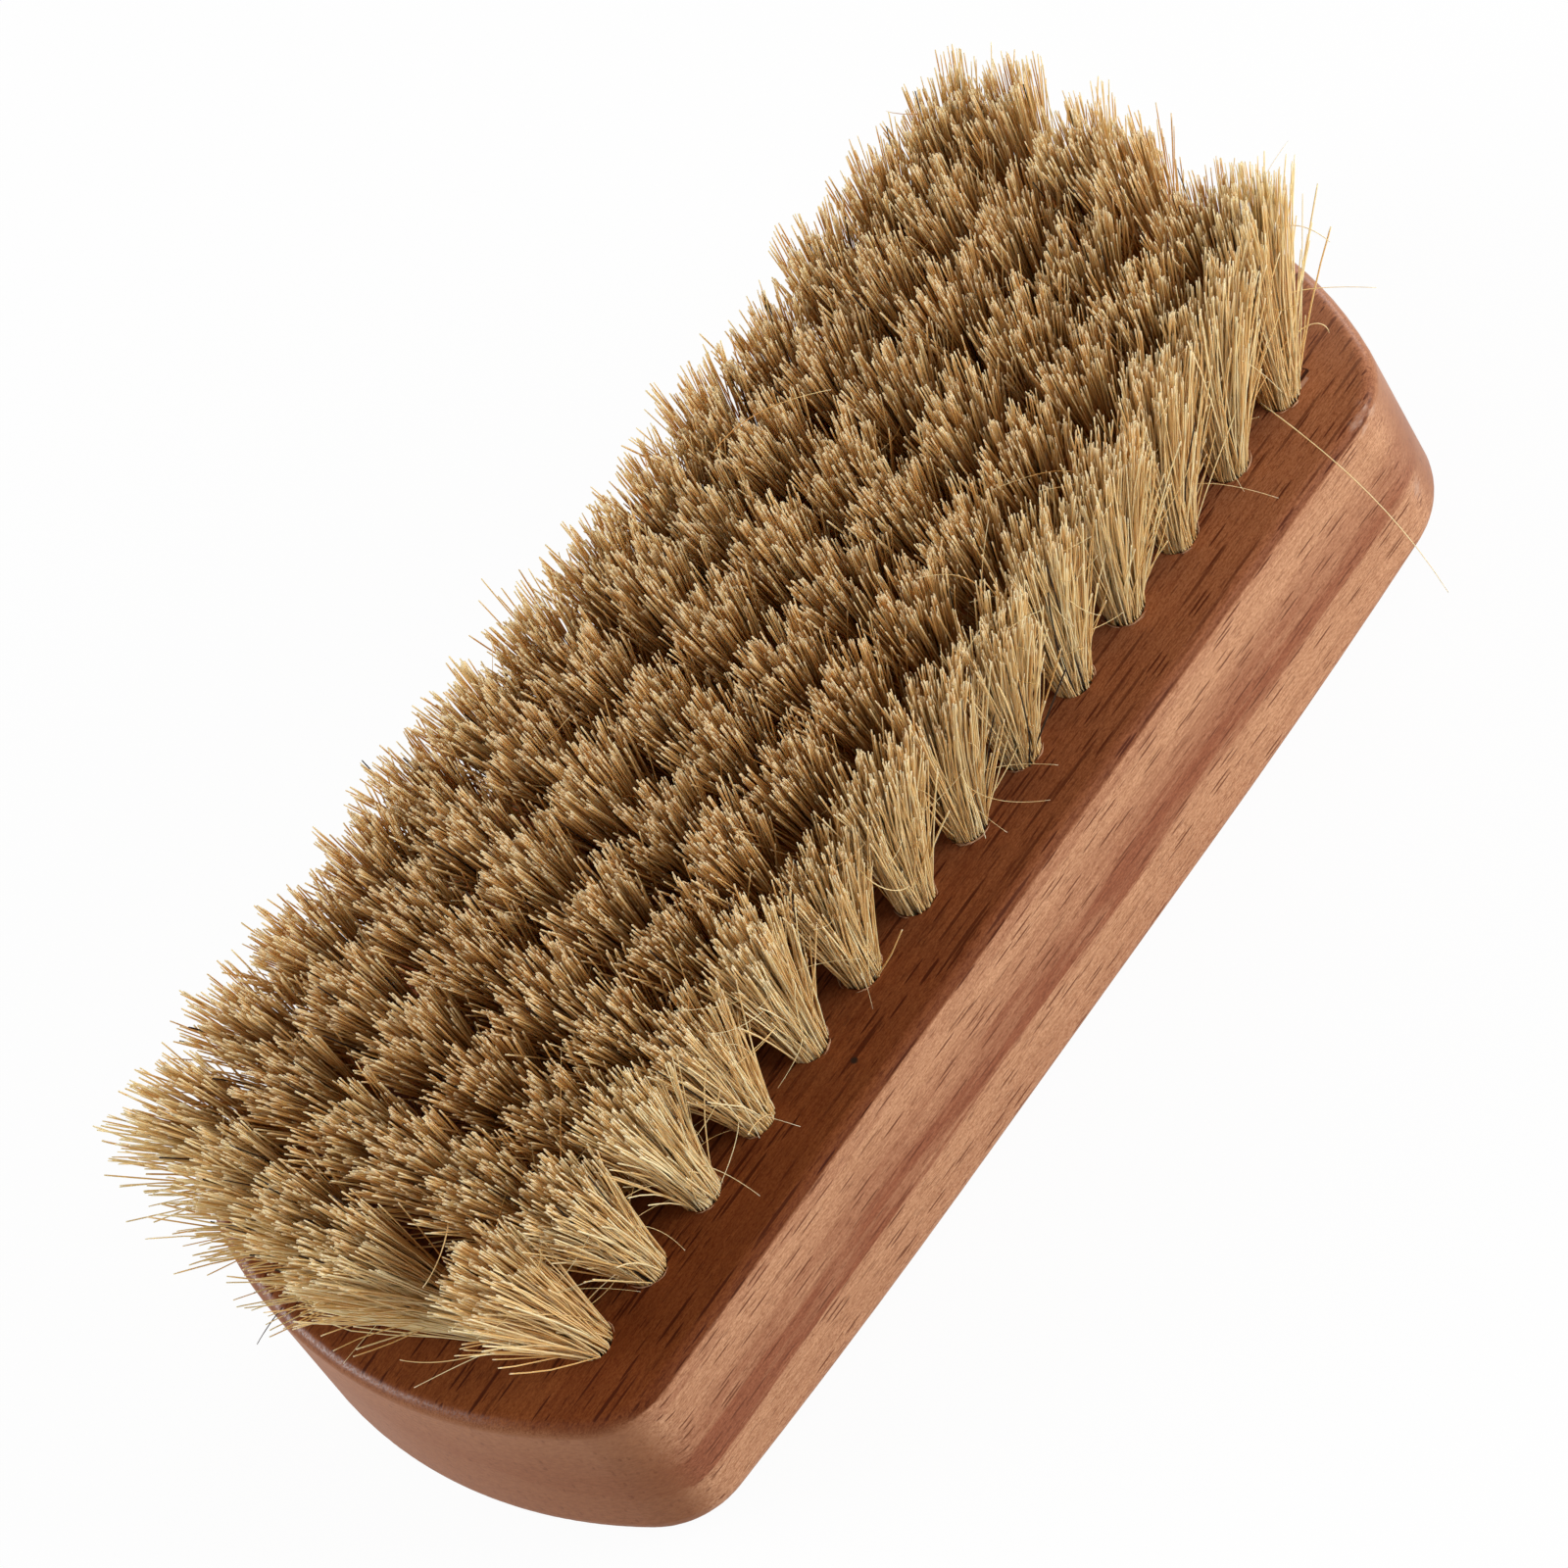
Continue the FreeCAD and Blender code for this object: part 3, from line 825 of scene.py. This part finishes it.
def tuft_tips(hole, tip_shift, half, top, flung):
    """Where the bristles of one tuft sit in the hole, as a unit disc, and where and how high they end."""
    angle = rng.uniform(0, 2 * math.pi, BRISTLES)
    disc = rng.uniform(0, 1, (BRISTLES, 1)) ** 0.5 * np.stack((np.cos(angle), np.sin(angle)), axis=1)
    wide = TIP_SPREAD * disc + rng.normal(0, TIP_JITTER, disc.shape)
    nests = wide[:WISPS]
    nearest = np.argmin(np.linalg.norm(wide[:, None] - nests[None], axis=2), axis=1)
    wide += rng.uniform(*GATHER, (BRISTLES, 1)) * (nests[nearest] - wide)
    splayed = rng.random(BRISTLES) < SPLAYED
    wide[splayed] *= rng.uniform(*SPLAY, (splayed.sum(), 1))
    level = top - DOME * (wide ** 2).sum(axis=1) + rng.normal(0, UNEVEN, BRISTLES)
    level += rng.normal(WISP_DROP, WISP_UNEVEN, WISPS)[nearest]
    short = rng.random(BRISTLES) < SHORT
    level[short] -= np.minimum(rng.exponential(SHORTER_BY, short.sum()), SHORTEST)
    level = np.minimum(level, top + rng.normal(*ABOVE_TRIM, BRISTLES))
    tip = hole + tip_shift + wide * half
    loose = (rng.random(BRISTLES) < flung) & (disc[:, 0] < FLUNG_SIDE)
    tip[loose, 0] -= rng.uniform(0.0, FLUNG_OUT, loose.sum())
    level[loose] = FACE + (level[loose] - FACE) * rng.uniform(*FLUNG_HEIGHT, loose.sum())
    return disc, tip, level


def tuft_paths(hole, disc, tip, level):
    """The paths of one tuft's bristles, ring by ring from the root to the tip."""
    mouth = hole + disc * MOUTH_RADIUS
    straight = rng.normal(STRAIGHT, STRAIGHT_UNEVEN, (BRISTLES, 1))
    wave = rng.normal(0, WAVE, (BRISTLES, 2))
    phase = rng.uniform(0, 2 * math.pi, (BRISTLES, 2))
    paths = np.empty((BRISTLES, TUFT_RINGS, 3))
    for ring, share in enumerate(REACH):
        bend = straight * share + (1 - straight) * share ** 2
        ripple = wave * np.sin(phase + WAVE_TURNS * share) * share
        paths[:, ring, :2] = mouth + (tip - mouth) * bend + ripple
        paths[:, ring, 2] = FACE + (level - FACE) * share
    paths[:, 0, :2] = hole + disc * ROOT_RADIUS
    paths[:, 0, 2] = FACE - ROOT_DEPTH
    return paths


# %% The columns of tufts
DARK_HAIRS, DARK_TONE = 0.01, 1.0
TONE_JITTER, PALEST = 0.06, 0.98
TUFT_JITTER, TUFT_TOP = 0.45, (-0.2, 0.3)
THICKNESS, TIP_THICKNESS = (0.75, 1.2), (0.8, 1.1)
NARROW_BACK = 4
FLUNG_FROM, FLUNG = 3, 0.4


def tip_half(row, column):
    """Half the width of a tuft at its tips, along X and Y."""
    if (row, column) == FLAT_TUFT:
        return FLAT_HALF
    return BACK_HALF if row == BACK and column < COLUMNS - NARROW_BACK else TIP_HALF


def one_tuft(row, column):
    """The paths and the tones of one tuft's bristles."""
    hole = holes[row, column]
    shift = lean(row, column) + rng.normal(0, TUFT_JITTER, 2)
    top = TRIM + rng.normal(*TUFT_TOP) - ODD_TUFTS.get((row, column), (0, 0, 0))[2]
    flung = FLUNG if column == 0 and row >= FLUNG_FROM else 0.0
    paths = tuft_paths(hole, *tuft_tips(hole, shift, tip_half(row, column), top, flung))
    pale = np.clip(rng.random(BRISTLES) + paler(row, column) + rng.normal(0, TONE_JITTER), 0, PALEST)
    return paths, np.where(rng.random(BRISTLES) < DARK_HAIRS, DARK_TONE, pale)


for column in range(COLUMNS):
    tufts = [one_tuft(row, column) for row in range(ROWS)]
    paths = np.concatenate([tuft[0] for tuft in tufts])
    tones = np.concatenate([tuft[1] for tuft in tufts])
    radii = BRISTLE_RADIUS * rng.uniform(*THICKNESS, (len(paths), 1)) * TAPER
    radii[:, -1] *= rng.uniform(*TIP_THICKNESS, len(paths))
    name = f"bristles_{column + 1:02d}"
    piece = lay_bristles(name, tuft_bristle, REACH, paths, radii, tones, bristle_material)
    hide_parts(f"tuft_column_{column + 1:02d}")
print(ROWS * COLUMNS, "tufts of", BRISTLES, "bristles")

# %% [markdown]
# ## Loose hairs
# A brush always sheds. A few hairs have slipped half out of their tufts: one long hair hangs over the
# front edge, some curl across the near end, and many short ones stick out sideways between the tufts.
# The long ones are bent one by one, each steered by four corners, and the short ones are scattered by
# chance.

# %% Hairs bent one by one
STEPS = np.linspace(0, 1, HAIR_RINGS)
BENT_TONES = (0.55, 0.95)
BENT_HAIRS = {
    "over_the_edge": ((57.3, -19.6, 28.4), (55.8, -26.8, 29.2), (54.6, -37.5, 28.0), (54.0, -40.0, 10.6)),
    "near_long": ((-63.0, -16.0, 29.6), (-66.5, -13.0, 30.2), (-69.5, -10.0, 28.6), (-73.0, -7.0, 27.6)),
    "near_short": ((-65.0, -14.0, 29.4), (-68.5, -12.0, 30.4), (-70.5, -8.0, 28.8), (-71.4, -4.0, 28.0)),
    "arch_on_top": ((20.0, 16.0, 49.0), (23.5, 13.5, 53.0), (27.0, 10.5, 53.0), (31.0, 8.0, 50.6)),
    "near_curl": ((-61.0, -11.5, 47.0), (-63.5, -15.0, 50.5), (-66.5, -16.0, 50.5), (-68.0, -14.0, 47.6)),
    "far_curl": ((68.0, -18.0, 43.0), (69.4, -20.5, 46.2), (70.2, -23.0, 46.0), (70.1, -25.2, 44.0)),
    "dark_stub": ((35.6, -19.6, 43.0), (36.2, -21.6, 46.0), (37.0, -22.6, 45.4), (37.6, -22.4, 42.6)),
    "far_hook": ((63.2, -19.6, 30.0), (65.2, -21.4, 34.0), (66.6, -23.4, 33.4), (66.2, -23.2, 31.0)),
    "upright": ((37.4, -20.3, 30.4), (39.5, -23.0, 36.0), (42.0, -26.5, 41.0), (44.0, -28.3, 47.2)),
    "dark_twig": ((-72.8, 10.9, 28.0), (-73.8, 11.5, 27.2), (-75.2, 12.6, 25.6), (-76.4, 13.8, 23.4)),
    "front_loop": ((-8.5, -21.5, 42.0), (-11.5, -27.0, 46.5), (-10.0, -28.0, 42.0), (-7.0, -25.6, 37.6)),
    "far_slant": ((62.8, -19.5, 40.0), (58.0, -19.4, 35.0), (54.6, -19.4, 30.5), (51.0, -20.3, 27.2)),
}


def bend_through(corners):
    """Smooth paths, each steered by four corners: the first and last are on it."""
    start, out, back, end = (np.asarray(corners)[:, index, None] for index in range(4))
    t = STEPS[None, :, None]
    return (1 - t) ** 3 * start + 3 * (1 - t) ** 2 * t * out + 3 * (1 - t) * t ** 2 * back + t ** 3 * end


bent = bend_through(list(BENT_HAIRS.values()))
bent_tones = rng.uniform(*BENT_TONES, len(bent))
bent_tones[[name.startswith("dark") for name in BENT_HAIRS]] = DARK_TONE
print(len(bent), "hairs bent by hand")

# %% Hairs between the tufts
SCATTERED = 360
FRONT_HAIRS = SCATTERED // 3
FRONT_LONGER = 1.3
HAIR_LENGTH = (2.0, 5.5)
HAIR_OUT = 2.0
HAIR_HEIGHT, HAIR_RISE = (0.15, 0.9), (-0.5, 1.1)
HAIR_CURL, CURL_BEGUN = 0.5, 0.3
LOWEST, HIGHEST = FACE + 0.3, TRIM + 1.0
chosen = rng.integers(0, ROWS * COLUMNS, SCATTERED)
chosen[:FRONT_HAIRS] %= COLUMNS
roots = holes.reshape(-1, 2)[chosen]
leans = np.array([lean(index // COLUMNS, index % COLUMNS) for index in chosen])
heights = rng.uniform(*HAIR_HEIGHT, (SCATTERED, 1))
ways = rng.uniform(0, 2 * math.pi, SCATTERED)
outward = np.stack((np.cos(ways), np.sin(ways)), axis=1)
lengths = rng.uniform(*HAIR_LENGTH, (SCATTERED, 1))
lengths[:FRONT_HAIRS] *= FRONT_LONGER
beside = roots + leans * heights + outward * HAIR_OUT
first = np.concatenate((beside, FACE + (TRIM - FACE) * heights), axis=1)
rise = rng.uniform(*HAIR_RISE, (SCATTERED, 1))
curl = rng.normal(0, HAIR_CURL, (SCATTERED, 3)) * lengths
step = np.concatenate((outward, rise), axis=1) * lengths / 3
last = first + 3 * step + curl
last[:, 2] = np.clip(last[:, 2], LOWEST, HIGHEST)
third = first + 2 * step + CURL_BEGUN * curl
scattered = bend_through(np.stack((first, first + step, third, last), axis=1))
print(SCATTERED, "short hairs,", FRONT_HAIRS, "of them kept for the front row")

# %% The loose hairs as one piece
HAIR_RADIUS = 0.075
HAIR_TAPER = 0.45
THINNER = (0.5, 0.9)
HAIR_TONES = (0.5, 0.98)
paths = np.concatenate((bent, scattered))
tones = np.concatenate((bent_tones, rng.uniform(*HAIR_TONES, SCATTERED)))
thin = HAIR_RADIUS * rng.uniform(*THINNER, SCATTERED)
thickness = np.concatenate((np.full(len(bent), HAIR_RADIUS), thin))
radii = thickness[:, None] * (1 - HAIR_TAPER * STEPS)
hairs = lay_bristles("loose_hairs", loose_bristle, STEPS, paths, radii, tones, bristle_material)
print(len(paths), "loose hairs")

# %% [markdown]
# ## Torn fibres
# A drill leaves a rough rim: short pale fibres stand up round every hole. They are bristles again, short
# ones that lie along the rim and lift a little at one end.

# %% Raw fibre material
FIBRE_LINES = (4.0, 0.2, 0.2)
DARK_FIBRE = colour(0.33, 0.15, 0.075)
PALE_FIBRE = colour(0.62, 0.40, 0.24)


def raw_fibre():
    material, shader, place = new_material("raw_fibre")
    lines = place.stretch(FIBRE_LINES).noise(detail=3.0)
    feed(shader, Base_Color=lines.mix(DARK_FIBRE, PALE_FIBRE), Roughness=0.6 + 0.2 * lines)
    constant(shader, Specular_IOR_Level=0.2)
    return material


fibre_material = raw_fibre()
print("fibre material with", len(fibre_material.node_tree.nodes), "nodes")

# %% Fibres round the holes
FIBRES = 5
RIM = 2.36
RIM_LOOSE = 0.12
FIBRE_OUT, FIBRE_ABOVE = 0.25, 0.02
SWEEP, LIFT = (0.2, 0.55), (0.05, 0.5)
FIBRE_RADIUS = (0.05, 0.12)
SWELL = np.array((0.3, 0.7, 1.0, 1.0, 0.8, 0.5, 0.15))
spots = np.repeat(holes.reshape(-1, 2), FIBRES, axis=0)
middle_turn = rng.uniform(0, 2 * math.pi, len(spots))
sweep = rng.uniform(*SWEEP, len(spots)) * rng.choice((-1, 1), len(spots))
lift = rng.uniform(*LIFT, len(spots))
fibre_paths = np.empty((len(spots), TUFT_RINGS, 3))
for ring, share in enumerate(np.linspace(0, 1, TUFT_RINGS)):
    around = middle_turn + sweep * (share - 0.5) * 2
    away = RIM + rng.uniform(0, RIM_LOOSE, len(spots)) + FIBRE_OUT * share ** 2
    fibre_paths[:, ring, 0] = spots[:, 0] + away * np.cos(around)
    fibre_paths[:, ring, 1] = spots[:, 1] + away * np.sin(around)
    fibre_paths[:, ring, 2] = FACE + FIBRE_ABOVE + lift * share ** 2
fibre_radii = rng.uniform(*FIBRE_RADIUS, (len(spots), 1)) * SWELL
fibre_tones = rng.random(len(spots))
fibres = lay_bristles("rim_fibres", tuft_bristle, REACH, fibre_paths, fibre_radii, fibre_tones,
                      fibre_material)
print(len(spots), "fibres round the holes")

# %% [markdown]
# ## The splinter
# Beside the last hole of the front row a flat flake of wood has lifted. It is a triangle given a
# thickness: a circle of three corners, skewed so that they land on the corners of the flake.

# %% Splinter
SPLINTER = ((63.3, -20.9, 26.75), (63.1, -19.6, 26.42), (60.4, -20.8, 26.42))
SPLINTER_THICK = 0.3 * MM
raised, left, right = (Vector(corner) * MM for corner in SPLINTER)
middle = (raised + left + right) / 3
along = raised - middle
across = (left - right) / math.sqrt(3)
over = along.cross(across).normalized()
skew = Matrix((-across, along, over)).transposed().to_4x4()
bm = bmesh.new()
bmesh.ops.create_circle(bm, cap_ends=True, segments=3, radius=1.0)
bmesh.ops.transform(bm, matrix=Matrix.Translation(middle) @ skew, verts=bm.verts)
grown = bmesh.ops.extrude_face_region(bm, geom=bm.faces[:])
lower = [item for item in grown["geom"] if isinstance(item, bmesh.types.BMVert)]
bmesh.ops.translate(bm, verts=lower, vec=(0, 0, -SPLINTER_THICK))
bmesh.ops.recalc_face_normals(bm, faces=bm.faces)
splinter_mesh = bpy.data.meshes.new("splinter")
bm.to_mesh(splinter_mesh)
bm.free()
splinter_mesh.materials.append(wood_material)
splinter = bpy.data.objects.new("splinter", splinter_mesh)
scene.collection.objects.link(splinter)
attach(splinter, "root")
print("splinter with", len(splinter_mesh.polygons), "faces")

# %% [markdown]
# ## The studio
# The brush lies on a white table under soft light. A broad lamp stands close by, low in front of the far
# half, so the front side is the brightest. A weaker one lights the near end from behind, and a third
# shines along the block from the far end. The world fills the shadows.
# The table looks white to the camera and still carries a faint shadow.

# %% Table
FLOOR_HALF = 3.0
WHITE = colour(1.0, 1.0, 1.0)
TABLE_WHITE = colour(0.94, 0.94, 0.94)
WHITE_SHARE = 0.95


def seen_directly(start):
    """1 for rays that the camera, a reflection or glass sends, 0 for those that gather light."""
    rays = start.node("ShaderNodeLightPath").plug.node.outputs
    camera_ray = Field(start.tree, rays["Is Camera Ray"])
    glossy_ray = Field(start.tree, rays["Is Glossy Ray"])
    glass_ray = Field(start.tree, rays["Is Transmission Ray"])
    return camera_ray.most(glossy_ray.most(glass_ray))


def white_table():
    material, shader, place = new_material("white_table")
    constant(shader, Base_Color=TABLE_WHITE, Roughness=0.9)
    plain = Field(material.node_tree, shader.outputs[0])
    glow = place.node("ShaderNodeEmission", None, {"Color": WHITE, "Strength": 1.0})
    share = seen_directly(place) * WHITE_SHARE
    both = place.node("ShaderNodeMixShader", None, {0: share, 1: plain, 2: glow})
    output = next(node for node in material.node_tree.nodes if node.type == "OUTPUT_MATERIAL")
    material.node_tree.links.new(both.plug, output.inputs["Surface"])
    return material


bm = bmesh.new()
bmesh.ops.create_grid(bm, x_segments=1, y_segments=1, size=FLOOR_HALF)
floor_mesh = bpy.data.meshes.new("table_top")
bm.to_mesh(floor_mesh)
bm.free()
floor_mesh.materials.append(white_table())
floor = bpy.data.objects.new("table_top", floor_mesh)
scene.collection.objects.link(floor)
print("table", 2 * FLOOR_HALF, "metres wide")

# %% World
FILL = 0.43
world = bpy.data.worlds.new("studio")
world.use_nodes = True
scene.world = world
background = next(node for node in world.node_tree.nodes if node.type == "BACKGROUND")
sky = Field(world.node_tree, background.outputs[0])
strength = FILL + (1 - FILL) * seen_directly(sky)
world.node_tree.links.new(strength.plug, background.inputs["Strength"])
background.inputs["Color"].default_value = WHITE
print("the world fills the shadows at", FILL)

# %% Lamps
# Every lamp has its direction, its distance and size in metres and its brightness.
LAMPS = {
    "key": ((0.6, -0.75, 0.34), 0.62, 0.4, 0.77),
    "rim": ((-0.66, 0.63, 0.41), 1.2, 0.6, 0.52),
    "far": ((0.95, 0.2, 0.14), 1.2, 0.6, 0.4),
}


def soft_lamp(name, towards, distance, size, level):
    """A square lamp that gives a white surface facing it the brightness level."""
    data = bpy.data.lights.new(name, "AREA")
    data.shape = "SQUARE"
    data.size = size
    data.energy = level * math.pi ** 2 * distance ** 2
    lamp = bpy.data.objects.new(name, data)
    direction = Vector(towards).normalized()
    lamp.location = direction * distance
    lamp.rotation_euler = direction.to_track_quat("Z", "Y").to_euler()
    scene.collection.objects.link(lamp)


for name, setting in LAMPS.items():
    soft_lamp(name, *setting)
scene.view_settings.view_transform = "Standard"

# %% [markdown]
# ## The end
